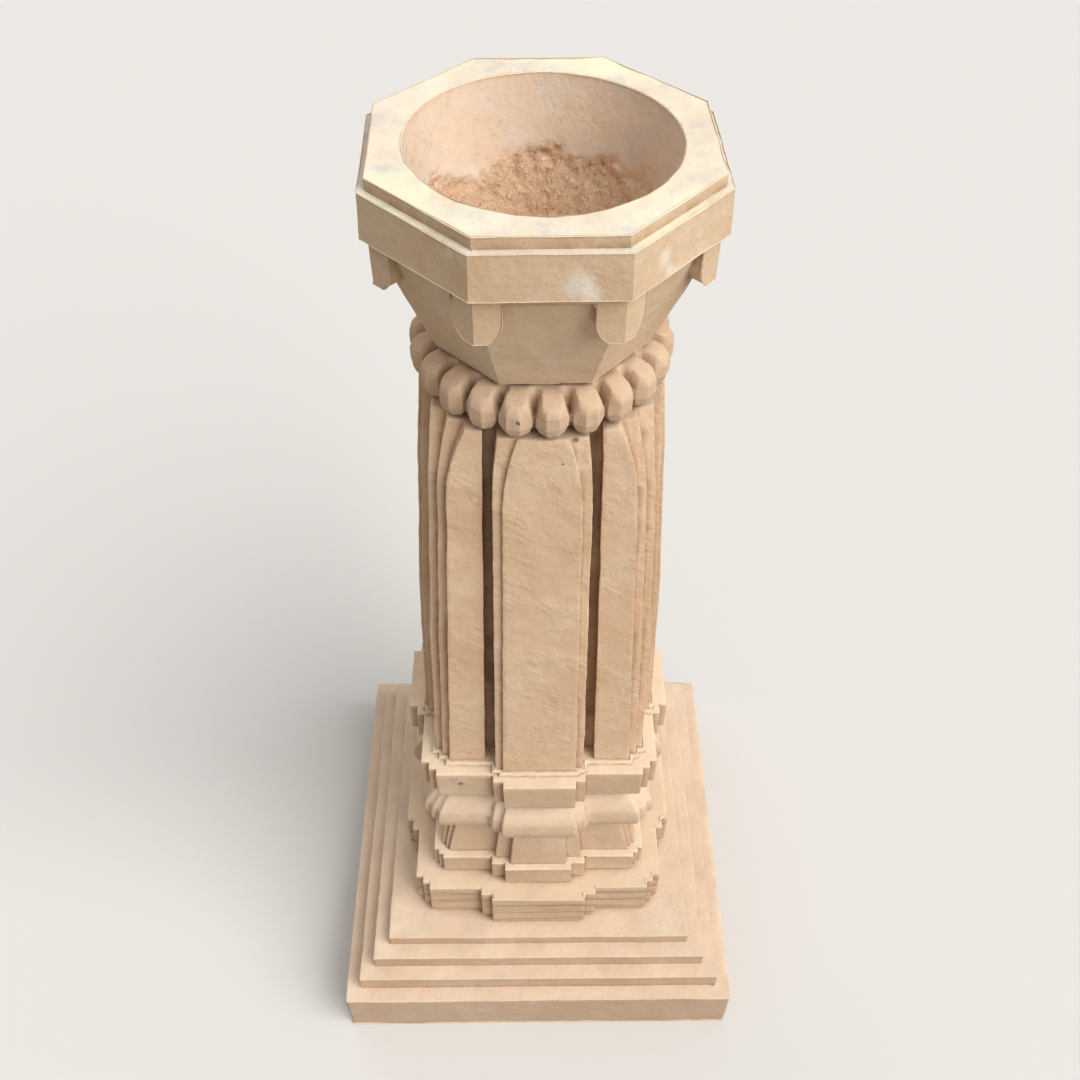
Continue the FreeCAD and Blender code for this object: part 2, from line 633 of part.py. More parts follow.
def make_dowel(name, level, length):
    """A steel bar on the axis and the sleeve of grout that fills its socket."""
    bar = new_piece("dowel_" + name, level)
    pad(bar, "Bar", disc(bar, "BarOutline", "Sizes.dowel_radius"), length)
    sleeve = new_piece("grout_" + name, level)
    pad(sleeve, "Sleeve", disc(sleeve, "SleeveOutline", SOCKET_RADIUS), length)
    socket(sleeve, "BarHole", "Sizes.dowel_radius", "0", length, True)


def make_beds():
    make_stepped_bed("bed_under_slab", PLINTH_TOP,
                     shrunk(plan("base"), "Sizes.bed_setback"), "Sizes.bed_rise")
    make_stepped_bed("bed_under_pedestal", SLAB_TOP,
                     shrunk(plan("foot"), "Sizes.bed_setback"), "Sizes.bed_rise")
    make_stepped_bed("bed_under_shaft", PEDESTAL_TOP,
                     grown(plan("shaft"), "Sizes.shaft_bed_spread"), "Sizes.shaft_bed_rise")
    make_round_bed("bed_under_beads", SHAFT_TOP, "Sizes.ring_core_radius - Sizes.bed_setback")
    make_round_bed("bed_under_bowl", RING_TOP, "Sizes.bowl_foot_apothem - Sizes.bed_setback")


def make_dowels():
    make_dowel("base", f"{PLINTH_TOP} - Sizes.base_dowel_grip",
               f"{PEDESTAL_FOOT} - {PLINTH_TOP} + 2 * Sizes.base_dowel_grip")
    make_dowel("shaft", f"{PEDESTAL_TOP} - Sizes.shaft_dowel_grip",
               "Sizes.shaft_bed_rise + 2 * Sizes.shaft_dowel_grip")
    make_dowel("bowl", f"{SHAFT_TOP} - Sizes.shaft_dowel_grip",
               f"{BOWL_FOOT} - {SHAFT_TOP} + Sizes.shaft_dowel_grip + Sizes.bowl_dowel_grip")


make_plinth()
make_base_slab()
make_pedestal()
make_shaft()
make_bead_ring()
make_bowl()
make_beds()
make_dowels()
doc.recompute()

# Nothing is written unless every feature and every piece is sound.
for item in doc.Objects:
    if "Invalid" in item.State or "Error" in item.State:
        raise RuntimeError(f"{item.Label} failed: {item.State}")
for body in pieces:
    if body.Shape.isNull() or not body.Shape.isValid() or len(body.Shape.Solids) != 1:
        raise RuntimeError(f"{body.Label} is not one sound solid")

os.makedirs("parts", exist_ok=True)
for body in pieces:
    body.Shape.exportStep(f"parts/{body.Label}.step")
    box = body.Shape.BoundBox
    print(f"{body.Label}: {box.XLength:.1f} x {box.YLength:.1f} x {box.ZLength:.1f} mm,"
          f" z {box.ZMin:.1f} to {box.ZMax:.1f}, {body.Shape.Volume / 1e6:.3f} litres")
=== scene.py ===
# %% [markdown]
# # A tulsi vrindavan planter in hand-carved sandstone
#
# The real object is a stack of carved stones: a stepped plinth, a slab, a moulded pedestal, a
# fluted shaft, a ring of beads and an octagonal bowl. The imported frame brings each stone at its
# true size and place. This lesson gives every visible stone what a mason's tools leave on it:
# softened arrises, surfaces that are not quite flat, a rough hollow, squeezed mortar and the
# colour of the rock.

# %% Load the frame
import math

import bpy
from mathutils import Matrix, Vector, noise


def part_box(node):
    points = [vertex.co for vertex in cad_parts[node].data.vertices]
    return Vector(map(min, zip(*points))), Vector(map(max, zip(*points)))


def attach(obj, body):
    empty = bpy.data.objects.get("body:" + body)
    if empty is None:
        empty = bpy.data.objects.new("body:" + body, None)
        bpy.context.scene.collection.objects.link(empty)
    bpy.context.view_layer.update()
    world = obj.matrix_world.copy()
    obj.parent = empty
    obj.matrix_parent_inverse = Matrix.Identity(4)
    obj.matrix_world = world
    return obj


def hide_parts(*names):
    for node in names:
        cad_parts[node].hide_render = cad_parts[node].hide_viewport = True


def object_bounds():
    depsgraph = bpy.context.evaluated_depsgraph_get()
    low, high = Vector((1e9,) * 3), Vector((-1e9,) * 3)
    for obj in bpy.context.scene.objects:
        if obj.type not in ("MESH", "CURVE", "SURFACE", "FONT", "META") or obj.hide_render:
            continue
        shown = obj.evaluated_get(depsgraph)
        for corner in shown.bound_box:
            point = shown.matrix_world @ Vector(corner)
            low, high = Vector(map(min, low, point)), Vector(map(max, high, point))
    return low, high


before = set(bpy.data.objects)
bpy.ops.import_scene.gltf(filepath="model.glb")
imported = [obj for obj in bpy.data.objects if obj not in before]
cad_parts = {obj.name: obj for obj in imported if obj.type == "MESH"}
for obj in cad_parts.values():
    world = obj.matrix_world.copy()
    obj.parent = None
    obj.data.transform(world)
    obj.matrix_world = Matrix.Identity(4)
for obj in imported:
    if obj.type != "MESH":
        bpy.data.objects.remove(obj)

MM = 0.001
CAD_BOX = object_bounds()
print("frame:", len(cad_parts), "nodes, height", round(CAD_BOX[1].z, 4), "m")

# %% [markdown]
# ## Camera
#
# The photograph looks down on the planter from eye height, slightly from the left. The camera
# could be placed by trial, but a camera that was fitted to measured corners of the stones puts
# every edge where it lies in the picture. It is given by its place, its pitch below the horizon,
# its yaw to the right and its roll.

# %% Camera at the photograph's viewpoint
EYE = Vector((-13.7, -726.5, 1431.3)) * MM
PITCH = math.radians(47.83)
YAW = math.radians(1.11)
ROLL = math.radians(0.6)
LENS = 37.95
SENSOR = 36.0


def aim_camera(eye, pitch, yaw, roll):
    """A camera that looks along +Y, turned right by the yaw, down by the pitch and then rolled."""
    data = bpy.data.cameras.new("eye_level")
    data.lens = LENS
    data.sensor_width = SENSOR
    camera = bpy.data.objects.new("eye_level", data)
    bpy.context.scene.collection.objects.link(camera)
    turn = Matrix.Rotation(-yaw, 3, "Z") @ Matrix.Rotation(math.pi / 2 - pitch, 3, "X")
    turn = turn @ Matrix.Rotation(roll, 3, "Z")
    camera.matrix_world = Matrix.Translation(eye) @ turn.to_4x4()
    bpy.context.scene.camera = camera
    return camera


camera = aim_camera(EYE, PITCH, YAW, ROLL)
print("camera at", [round(c, 3) for c in camera.matrix_world.translation])

# %% [markdown]
# ## Nodes
#
# The sky, the floor and the stones all get their looks from nodes. One small function adds a
# node, sets it up and links it, so that a network of nodes reads like a sentence: the name of a
# node stands for what comes out of it.

# %% Adding nodes
def linear(code):
    """A linear colour from an sRGB hex code."""
    parts = [int(code[i:i + 2], 16) / 255 for i in (0, 2, 4)]
    return [p / 12.92 if p <= 0.04045 else ((p + 0.055) / 1.055) ** 2.4 for p in parts] + [1.0]


def add(tree, kind, wires=None, **settings):
    """Add a node, set its properties, and set or link its inputs by name or number.

    An input takes a value, a socket, or a node, which stands for the first output it has in use.
    """
    node = tree.nodes.new("ShaderNode" + kind)
    for name, setting in settings.items():
        setattr(node, name, setting)
    for name, source in (wires or {}).items():
        if isinstance(source, bpy.types.Node):
            source = next(socket for socket in source.outputs if socket.enabled)
        if isinstance(source, bpy.types.NodeSocket):
            tree.links.new(source, node.inputs[name])
        else:
            node.inputs[name].default_value = source
    return node


def new_material(name):
    """An empty node material and its tree."""
    material = bpy.data.materials.new(name)
    material.use_nodes = True
    material.node_tree.nodes.clear()
    return material, material.node_tree


print("middle grey is", round(linear("808080")[0], 3), "in linear light")

# %% [markdown]
# ## Floor and light
#
# A plain pale floor carries the shadow. The stone is lit by one soft lamp from above and to the
# right, which is what makes the tops pale, the right faces bright and the left faces brown in the
# photograph. A sun lamp with a wide disc is chosen because it lights every side alike at any
# distance. The sky is brighter overhead than at the horizon, as on a cloudy day, and a weak lamp
# keeps the back readable. The floor looks pale, and throws back less light than it shows, so that
# the left sides stay brown.

# %% Lamps
KEY_FROM = Vector((0.61, -0.45, 0.65))
KEY_STRENGTH = 2.95
KEY_DISC = math.radians(52)
BACK_FROM = Vector((-0.45, 0.85, 0.45))
BACK_STRENGTH = 0.35
BACK_DISC = math.radians(40)


def sun(name, towards, strength, disc):
    """A sun lamp that shines from a direction."""
    data = bpy.data.lights.new(name, "SUN")
    data.energy = strength
    data.angle = disc
    lamp = bpy.data.objects.new(name, data)
    lamp.rotation_mode = "QUATERNION"
    lamp.rotation_quaternion = towards.to_track_quat("Z", "Y")
    bpy.context.scene.collection.objects.link(lamp)


sun("soft_key", KEY_FROM, KEY_STRENGTH, KEY_DISC)
sun("back_fill", BACK_FROM, BACK_STRENGTH, BACK_DISC)

# %% Sky
SKY_COLOUR = "F2F2F2"
SKY_OVERHEAD = 0.78
SKY_LOW = 0.30
BACKDROP = 0.80

world = bpy.data.worlds.new("pale_studio")
world.use_nodes = True
tree = world.node_tree
tree.nodes.clear()
direction = add(tree, "TexCoord").outputs["Generated"]
height = add(tree, "SeparateXYZ", {0: direction}).outputs["Z"]
sky = add(tree, "MapRange", {"Value": height, "To Min": SKY_LOW, "To Max": SKY_OVERHEAD})
seen = add(tree, "LightPath").outputs["Is Camera Ray"]
strength = add(tree, "Mix", {0: seen, 2: sky, 3: BACKDROP}, data_type="FLOAT")
glow = add(tree, "Background", {"Color": linear(SKY_COLOUR), "Strength": strength})
add(tree, "OutputWorld", {"Surface": glow})
bpy.context.scene.world = world
bpy.context.scene.view_settings.view_transform = "Standard"
print("sky from", SKY_LOW, "at the horizon to", SKY_OVERHEAD, "overhead")

# %% Floor
FLOOR_SIZE = 16.0
FLOOR_COLOUR = "D9D6D1"
FLOOR_BOUNCE = "A39F99"
FLOOR_ROUGHNESS = 0.9

bpy.ops.mesh.primitive_plane_add(size=FLOOR_SIZE, location=(0, 0, 0))
floor = bpy.context.object
floor.name = "pale_floor"
paint, tree = new_material("pale_floor_paint")
seen = add(tree, "LightPath").outputs["Is Camera Ray"]
shown = add(tree, "Mix", {0: seen, 6: linear(FLOOR_BOUNCE), 7: linear(FLOOR_COLOUR)},
            data_type="RGBA")
matt = add(tree, "BsdfPrincipled", {"Base Color": shown, "Roughness": FLOOR_ROUGHNESS})
add(tree, "OutputMaterial", {"Surface": matt})
floor.data.materials.append(paint)
print("floor of", FLOOR_SIZE, "m")

# %% [markdown]
# ## The look of sandstone
#
# Beige sandstone is quartz grains of a quarter to half a millimetre in a clay cement. It is matt,
# its colour drifts from cream to tan and pink over a hand's breadth, and finer mottling comes
# from weathered grains. Upward faces and worn arrises are painted paler, partly for dust and wear
# and partly as painted light where the lamp falls, and recesses, joints and inward corners are
# painted darker, partly for brown dirt and partly as painted shade. A chisel or a saw leaves
# lines. One recipe makes the whole family, so that all the stones look as if they came from one
# quarry, and each stone differs in tint and in its tool marks.
#
# The recipe lays thin layers over one another, as a painter does. Every layer has a colour, a
# strength, and shares from 0 to 1 that say where it lies: it shows where all of them come
# together. The same shares lift or sink the skin in the bump.

# %% Sizes, colours and strengths of the layers
PATCH = 38 * MM
# Size of the noise, its detail, its roughness, and how far it is shifted to look unlike the rest.
NOISES = {
    "cloud": (110 * MM, 4.0, 0.55, 0),
    "patch": (PATCH, 5.0, 0.6, 0),
    "mottle": (13 * MM, 5.0, 0.62, 0),
    "peck": (5 * MM, 3.0, 0.55, 0),
    "grain": (1.7 * MM, 2.0, 0.7, 0),    # real grains are finer, and would not show
    "limewash": (PATCH, 6.0, 0.7, 0.31),
    "old_lime": (PATCH, 6.0, 0.72, 1.7),
    "pollen": (90 * MM, 3.0, 0.6, 2.9),
    "spall": (7 * MM, 4.0, 0.7, 0.9),
    "ash": (PATCH, 6.0, 0.72, 0.6),
    "torn": (9 * MM, 5.0, 0.68, 0.4),
}
LIMED_FROM = 985 * MM    # lime was splashed on the rim and the band only
# Where a layer starts and is full, and what it starts from and reaches, if that isn't 0 and 1.
SPANS = {
    "cloud": (0.36, 0.64),
    "mottle": (0.42, 0.68, 0.0, 0.65),
    "grain": (0.32, 0.68, 0.0, 0.13),
    # the tops and the arrises are painted paler, as dust and wear and as painted light
    "top": (0.35, 0.95),
    "patchy_paling": (0.30, 0.62, 0.6, 1.0),
    "wear_and_highlight": (0.36, 0.58),
    "limed": (LIMED_FROM, LIMED_FROM + 10 * MM),
    "limewash": (0.56, 0.68),
    "old_lime": (0.53, 0.64),
    "pollen": (0.54, 0.64),
    "spall": (0.57, 0.66),
    "spalled": (0.40, 0.60, 0.3, 1.0),
    "ash": (0.48, 0.60),
    "raw": (0.40, 0.70, 0.0, 0.6),
    "ridge": (0.0, 0.12),
    # painted shade in sheltered places and inward corners, which also stands for dirt
    "occluded": (0.60, 0.15),
    "patchy_shade": (0.25, 0.65, 0.6, 1.0),
    "less_in_rough": (0.0, 1.0, 1.0, 0.5),
    "corner": (0.35, 1.0),
    "patchy_corner": (0.30, 0.60, 0.35, 1.0),
    "less_on_tops": (0.2, 0.8, 1.0, 0.2),
    "upright": (0.5, 0.2),
    "saw_line": (0.52, 0.66),
    "sideways": (0.6, 0.8),
    "struck": (0.48, 0.62, 0.10, 1.0),
    "stroke": (0.56, 0.70),
    "roughness": (0.3, 0.7, 0.82, 0.97),
}
# The worn arrises carry a painted highlight, and grime and corner carry painted shade as well as
# dirt.
TINTS = {"wear_and_highlight": 0.42, "limewash": 0.32, "old_lime": 0.62, "pollen": 0.70, "fresh": 0.34,
         "spall": 0.07, "ash": 0.30, "raw": 0.85, "shade_and_grime": 0.62, "corner": 0.50,
         "splash": 0.42, "pit": 0.75, "saw_line": 0.34, "stroke": 0.10}
LIFTS = {"mottle": 0.50, "grain": 0.11, "peck": 0.30, "spall": -0.25, "torn": 0.9,
         "pit": -0.9, "saw_line": -0.8, "stroke": 0.9}
RELIEF = 2.0 * MM        # what a lift of 1 stands for
LIMEWASH = "F6F1E6"
OLD_LIME = "C9C8C4"
POLLEN = "F3EFCB"
FRESH = "E9DACC"
SIZES = [round(size / MM, 1) for size, *_ in NOISES.values()]
print("sandstone:", len(NOISES), "noises with lumps of", min(SIZES), "to", max(SIZES), "mm")


# %% A skin that takes layers
def product(tree, share, *others):
    """Multiply shares, which may be numbers, sockets or nodes."""
    for other in others:
        share = add(tree, "Math", {0: share, 1: other}, operation="MULTIPLY")
    return share


def span(name, source):
    """The inputs of a Map Range node that runs a source over a named span."""
    ends = zip(("From Min", "From Max", "To Min", "To Max"), SPANS[name])
    return {"Value": source, **dict(ends)}


class Skin:
    """The colour and the height of a stone while its layers are laid on, and what they follow."""

    def __init__(self, tree, face):
        self.tree = tree
        self.place = add(tree, "TexCoord").outputs["Object"]
        normal = add(tree, "NewGeometry").outputs["Normal"]
        self.facing = add(tree, "SeparateXYZ", {0: normal})
        self.upward = self.facing.outputs["Z"]
        # How far a face looks up; it paints the tops paler, as dust and as painted light from
        # above.
        self.top = add(tree, "MapRange", span("top", self.upward))
        self.arris, self.corner, self.hollow, self.rough = [
            add(tree, "Attribute", attribute_name=name).outputs["Fac"]
            for name in ("arris", "corner", "hollow", "rough")]
        self.outside = add(tree, "Math", {0: 1.0, 1: self.hollow}, operation="SUBTRACT")
        self.patch = add(tree, "TexNoise", self.noise("patch"))
        self.mottle = add(tree, "TexNoise", self.noise("mottle"))
        self.colour = linear(face)
        self.height = product(tree, self.mottle, LIFTS["mottle"])

    def noise(self, name):
        """The inputs of a named noise."""
        size, detail, rough, shift = NOISES[name]
        place = self.place
        if shift:
            place = add(self.tree, "Mapping", {"Vector": place, "Location": (shift,) * 3})
        return {"Vector": place, "Scale": 1 / size, "Detail": detail, "Roughness": rough}

    def patches(self, name):
        """The share where a named noise is high enough."""
        return add(self.tree, "MapRange", span(name, add(self.tree, "TexNoise", self.noise(name))))

    def lay(self, tint, *shares):
        """Lay a hex colour, or the colour of a node, where the shares come together."""
        over = linear(tint) if isinstance(tint, str) else tint
        together = product(self.tree, *shares)
        self.colour = add(self.tree, "Mix", {0: together, 6: self.colour, 7: over},
                          data_type="RGBA")

    def lift(self, amount, *shares):
        """Lift the skin, or sink it, where the shares come together."""
        rise = product(self.tree, *shares, amount)
        self.height = add(self.tree, "Math", {0: self.height, 1: rise}, operation="ADD")


print("each of", len(SPANS), "spans turns a noise, a slope or a mark into a share")


# %% Rock, with dust, wear and painted light
def rock_wear_and_top_light(skin, tan, dust_and_light, dirt_and_shade, paler_tops):
    """Clouds, mottling and grains; pale tops and arrises stand for dusting and wear and are partly
    painted light.
    """
    tree = skin.tree
    grain = add(tree, "TexNoise", skin.noise("grain"))
    skin.lay(tan, skin.patches("cloud"))
    skin.lay(tan, add(tree, "MapRange", span("mottle", skin.mottle)))
    skin.lay(dirt_and_shade, add(tree, "MapRange", span("grain", grain)))
    skin.lift(LIFTS["grain"], grain)
    skin.lift(LIFTS["peck"], add(tree, "TexNoise", skin.noise("peck")))
    # The tops are painted paler, partly for dust and partly as painted light from the lamp above.
    patchy_paling = add(tree, "MapRange", span("patchy_paling", skin.patch))
    # The arrises get a painted highlight, which also stands for wear.
    wear_and_highlight = add(tree, "MapRange", span("wear_and_highlight", skin.mottle))
    pale = add(tree, "Math", {0: product(tree, skin.top, patchy_paling, paler_tops),
                              1: product(tree, skin.arris, wear_and_highlight, TINTS["wear_and_highlight"])},
               operation="MAXIMUM")
    skin.lay(dust_and_light, pale, skin.outside)


# Dust and painted light pale what faces up by more than this.
print("dust whitens what faces up by more than", SPANS["top"][0])

# %% Painted shade and dirt
# Ambient occlusion for the painted shade: how far it looks, and how many samples it takes.
SHADE_REACH = 18 * MM
SHADE_SAMPLES = 6


def painted_shade_and_dirt(skin, dirt_and_shade):
    """Painted shade with brown grime: darker where ambient occlusion finds the stone closed in, and
    in the inward corners.
    """
    tree = skin.tree
    occlusion = add(tree, "AmbientOcclusion", {"Distance": SHADE_REACH}, samples=SHADE_SAMPLES)
    # Painted shade where ambient occlusion finds the stone closed in, which also stands for grime.
    skin.lay(dirt_and_shade, add(tree, "MapRange", span("occluded", occlusion.outputs["AO"])),
             add(tree, "MapRange", span("patchy_shade", skin.mottle)),
             add(tree, "MapRange", span("less_in_rough", skin.rough)), TINTS["shade_and_grime"])
    # Painted shade in the inward corners, which also stands for dirt caught there.
    skin.lay(dirt_and_shade, add(tree, "MapRange", span("corner", skin.corner)),
             add(tree, "MapRange", span("patchy_corner", skin.mottle)), skin.outside,
             add(tree, "MapRange", span("less_on_tops", skin.upward)), TINTS["corner"])


# The painted shade and the grime reach this far out of a corner.
print("dirt reaches", round(SHADE_REACH / MM), "mm out of a corner")


# %% Lime on the rim, and stone broken out of the hollow
def lime(skin, amount):
    """Splashed lime, grey old lime and a yellow bloom, mostly on the tops."""
    level = add(skin.tree, "SeparateXYZ", {0: skin.place}).outputs["Z"]
    limed = add(skin.tree, "MapRange", span("limed", level))
    skin.lay(LIMEWASH, skin.patches("limewash"), skin.outside, limed, TINTS["limewash"] * amount)
    skin.lay(OLD_LIME, skin.patches("old_lime"), skin.top, TINTS["old_lime"] * amount)
    skin.lay(POLLEN, skin.patches("pollen"), skin.top, TINTS["pollen"] * amount)


def break_out(skin, broken, tan, dirt_and_shade):
    """The hollow: a fresher wall with spalls and ash, and a raw torn bottom."""
    tree = skin.tree
    skin.lay(FRESH, skin.hollow, TINTS["fresh"])
    spalled = add(tree, "MapRange", span("spalled", skin.patch))
    spall = product(tree, skin.patches("spall"), spalled, skin.hollow)
    skin.lay(dirt_and_shade, spall, TINTS["spall"])
    skin.lift(LIFTS["spall"], spall)
    skin.lay(OLD_LIME, skin.patches("ash"), skin.hollow, TINTS["ash"])
    tanned = add(tree, "MapRange", span("raw", skin.mottle))
    raw = add(tree, "Mix", {0: tanned, 6: linear(broken), 7: linear(tan)}, data_type="RGBA")
    skin.lay(raw, skin.rough, TINTS["raw"])
    torn = add(tree, "TexNoise", skin.noise("torn"))
    off_middle = add(tree, "Math", {0: torn, 1: -0.5}, operation="ADD")
    ridge = add(tree, "Math", {0: off_middle}, operation="ABSOLUTE")
    skin.lift(LIFTS["torn"], add(tree, "MapRange", span("ridge", ridge)), skin.rough)


print("lime lies above", round(LIMED_FROM / MM), "mm")

# %% Pits and splashes
BLOT_HEART, BLOT_RIM = 1.1, 1.3      # in shares of the radius
SPLASH_EDGE = 0.6
PIT_EDGE = 0.3


def blot(skin, place, radius, soft):
    """A ragged round patch at a place in millimetres, from 0 outside to 1."""
    tree = skin.tree
    away = add(tree, "VectorMath", {0: skin.place, 1: Vector(place) * MM}, operation="DISTANCE")
    ragged = add(tree, "Math", {0: away, 1: product(tree, skin.mottle, radius * MM)},
                 operation="ADD")
    return add(tree, "MapRange", {"Value": ragged, "From Min": (BLOT_RIM + soft) * radius * MM,
                                  "From Max": BLOT_HEART * radius * MM})


print("a pit has an edge of", PIT_EDGE, "and a splash one of", SPLASH_EDGE, "of its radius")

# %% Tool marks
SAW_SCALE = (5.0, 5.0, 230.0)               # a line every few millimetres, long and level
SAW_NOISE = {"Scale": 1.0, "Detail": 2.0, "Roughness": 0.5}
STROKE_TURN = (0.2, 2.18, 0.2)              # slants down to the right over a face
STROKE_SIZE = (5 * MM, 5 * MM, 26 * MM)
STROKE_NOISE = {"Scale": 1.0, "Detail": 2.0, "Roughness": 0.55}


def saw_lines(skin, amount, dirt_and_shade):
    """Level lines of a saw on the upright faces."""
    tree = skin.tree
    level = add(tree, "Mapping", {"Vector": skin.place, "Scale": SAW_SCALE})
    lines = add(tree, "TexNoise", {"Vector": level, **SAW_NOISE})
    cut = product(tree, add(tree, "MapRange", span("saw_line", lines)),
                  add(tree, "MapRange", span("upright", skin.upward)), amount)
    skin.lay(dirt_and_shade, cut, TINTS["saw_line"])
    skin.lift(LIFTS["saw_line"], cut)


def chisel_strokes(skin, amount, dirt_and_shade):
    """Slanting strokes in patches, with x and y exchanged on the side faces."""
    tree = skin.tree
    spot = add(tree, "SeparateXYZ", {0: skin.place})
    turned = add(tree, "CombineXYZ", {"X": spot.outputs["Y"], "Y": spot.outputs["X"],
                                      "Z": spot.outputs["Z"]})
    lean = add(tree, "Math", {0: skin.facing.outputs["X"]}, operation="ABSOLUTE")
    sideways = add(tree, "MapRange", span("sideways", lean))
    laid = add(tree, "Mix", {0: sideways, 4: skin.place, 5: turned}, data_type="VECTOR")
    struck = add(tree, "Mapping", {"Vector": laid, "Rotation": STROKE_TURN, "Scale": STROKE_SIZE},
                 vector_type="TEXTURE")
    strokes = add(tree, "TexNoise", {"Vector": struck, **STROKE_NOISE})
    there = product(tree, add(tree, "MapRange", span("struck", skin.patch)), amount)
    skin.lift(LIFTS["stroke"], strokes, there)
    skin.lay(dirt_and_shade, add(tree, "MapRange", span("stroke", strokes)), there, TINTS["stroke"])


print("a chisel stroke is", round(STROKE_SIZE[2] / MM), "mm long")

# %% Sandstone
SPECULAR = 0.25
BUMP_STRENGTH = 0.75


def sandstone(name, face, tan, dust_and_light, dirt_and_shade, saw=0.0, chisel=0.0, paler_tops=1.0, smudge=0.0,
              broken=None, marks=(), splashes=()):
    """Matt sandstone in the given hex colours.

    Saw lines, chisel strokes and smudges of lime come in by weight. A stone with a hollow has a
    colour where it was broken out, and any stone may have small pits and splashes of lime, each
    given by its place and radius in millimetres.
    """
    material, tree = new_material(name)
    skin = Skin(tree, face)
    rock_wear_and_top_light(skin, tan, dust_and_light, dirt_and_shade, paler_tops)
    if smudge:
        lime(skin, smudge)
    if broken:
        break_out(skin, broken, tan, dirt_and_shade)
    painted_shade_and_dirt(skin, dirt_and_shade)
    for *place, radius in splashes:
        skin.lay(LIMEWASH, blot(skin, place, radius, SPLASH_EDGE), TINTS["splash"])
    for *place, radius in marks:
        pit = blot(skin, place, radius, PIT_EDGE)
        skin.lay(dirt_and_shade, pit, TINTS["pit"])
        skin.lift(LIFTS["pit"], pit)
    if saw:
        saw_lines(skin, saw, dirt_and_shade)
    if chisel:
        chisel_strokes(skin, chisel, dirt_and_shade)
    bump = add(tree, "Bump", {"Height": skin.height, "Strength": BUMP_STRENGTH,
                              "Distance": RELIEF})
    shader = add(tree, "BsdfPrincipled", {
        "Base Color": skin.colour, "Normal": bump, "Specular IOR Level": SPECULAR,
        "Roughness": add(tree, "MapRange", span("roughness", skin.mottle))})
    add(tree, "OutputMaterial", {"Surface": shader})
    return material


print("sandstone is matt: its roughness runs from", SPANS["roughness"][2], "to",
      SPANS["roughness"][3])

# %% [markdown]
# ## Dressing a block
#
# A block comes from the saw with knife-sharp arrises and dead flat faces, and a mason's hands and
# years outdoors change both. It could be sculpted by hand, but the same few moves suit every
# stone: weld a copy of its shape, round the arrises with a bevel, cut the faces into a fine grid
# with straight slices, and press the skin inwards by smooth noise. The skin only ever moves
# inwards, as stone can only be taken away, so a dressed block never outgrows its true size.

# %% A welded copy of a block
WELD = 0.01 * MM
FLAT = math.radians(0.4)


def select_only(thing):
    """Leave one object selected and active."""
    bpy.ops.object.select_all(action="DESELECT")
    thing.select_set(True)
    bpy.context.view_layer.objects.active = thing


def welded_copy(node, name):
    """A copy of a node's mesh as an object of its own, welded, with its flat faces whole."""
    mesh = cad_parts[node].data.copy()
    mesh.materials.clear()
    block = bpy.data.objects.new(name, mesh)
    bpy.context.scene.collection.objects.link(block)
    select_only(block)
    bpy.ops.mesh.customdata_custom_splitnormals_clear()
    bpy.ops.object.mode_set(mode="EDIT")
    bpy.ops.mesh.select_all(action="SELECT")
    bpy.ops.mesh.remove_doubles(threshold=WELD)
    bpy.ops.mesh.dissolve_limited(angle_limit=FLAT)
    bpy.ops.object.mode_set(mode="OBJECT")
    return block


def apply(block, kind, **settings):
    """Add a modifier, set it up and apply it."""
    modifier = block.modifiers.new(kind.lower(), kind)
    for name, setting in settings.items():
        setattr(modifier, name, setting)
    select_only(block)
    bpy.ops.object.modifier_apply(modifier=modifier.name)


print("corners closer than", round(WELD / MM, 3), "mm are welded")

# %% Find the arrises and inward corners
ARRIS_ANGLE = math.radians(24)


def folds(mesh):
    """For each edge 1 if it is an outward arris, -1 if an inward corner, and 0 if it is flat."""
    sides = {}
    for face in mesh.polygons:
        corners = list(face.vertices)
        for first, second in zip(corners, corners[1:] + corners[:1]):
            along = mesh.vertices[second].co - mesh.vertices[first].co
            into = face.normal.cross(along)
            sides.setdefault(tuple(sorted((first, second))), []).append((face.normal, into))
    kinds = []
    for edge in mesh.edges:
        pair = sides.get(tuple(sorted(edge.vertices)), [])
        kind = 0
        if len(pair) == 2:
            (normal, into), (other, _) = pair
            if normal.angle(other, 0.0) > ARRIS_ANGLE:
                kind = 1 if into.dot(other) < 0 else -1
        kinds.append(kind)
    return kinds


print("an arris turns by more than", round(math.degrees(ARRIS_ANGLE)), "degrees")

# %% Mark the arrises and corners
ARRIS_SLOT = 1


def weigh_arrises(block):
    """Give the outward arrises a bevel weight. Inward corners stay as sharp as a chisel cuts."""
    weights = [float(kind > 0) for kind in folds(block.data)]
    layer = block.data.attributes.new("bevel_weight_edge", "FLOAT", "EDGE")
    layer.data.foreach_set("value", weights)


def mark_folds(block, name, wanted):
    """Keep what lies on an arris (1) or in an inward corner (-1) as an attribute, from 0 to 1."""
    mesh = block.data
    shares = [0.0] * len(mesh.vertices)
    for edge, kind in zip(mesh.edges, folds(mesh)):
        if kind == wanted:
            for end in edge.vertices:
                shares[end] = 1.0
    mesh.attributes.new(name, "FLOAT", "POINT").data.foreach_set("value", shares)


def arris_shares(block):
    """How far each vertex lies on an arris: marked already, or else kept from the bevel's faces."""
    mesh = block.data
    shares = [0.0] * len(mesh.vertices)
    if "arris" in mesh.attributes:
        mesh.attributes["arris"].data.foreach_get("value", shares)
        return shares
    for face in mesh.polygons:
        if face.material_index == ARRIS_SLOT:
            for corner in face.vertices:
                shares[corner] = 1.0
        face.material_index = 0
    mesh.attributes.new("arris", "FLOAT", "POINT").data.foreach_set("value", shares)
    return shares


print("the bevel's faces go into slot", ARRIS_SLOT, "until they are marked")

# %% A grid of slices
OFF_MIDDLE = 0.43         # keeps a slice off the block's own middle line
SLIVER = 0.5 * MM


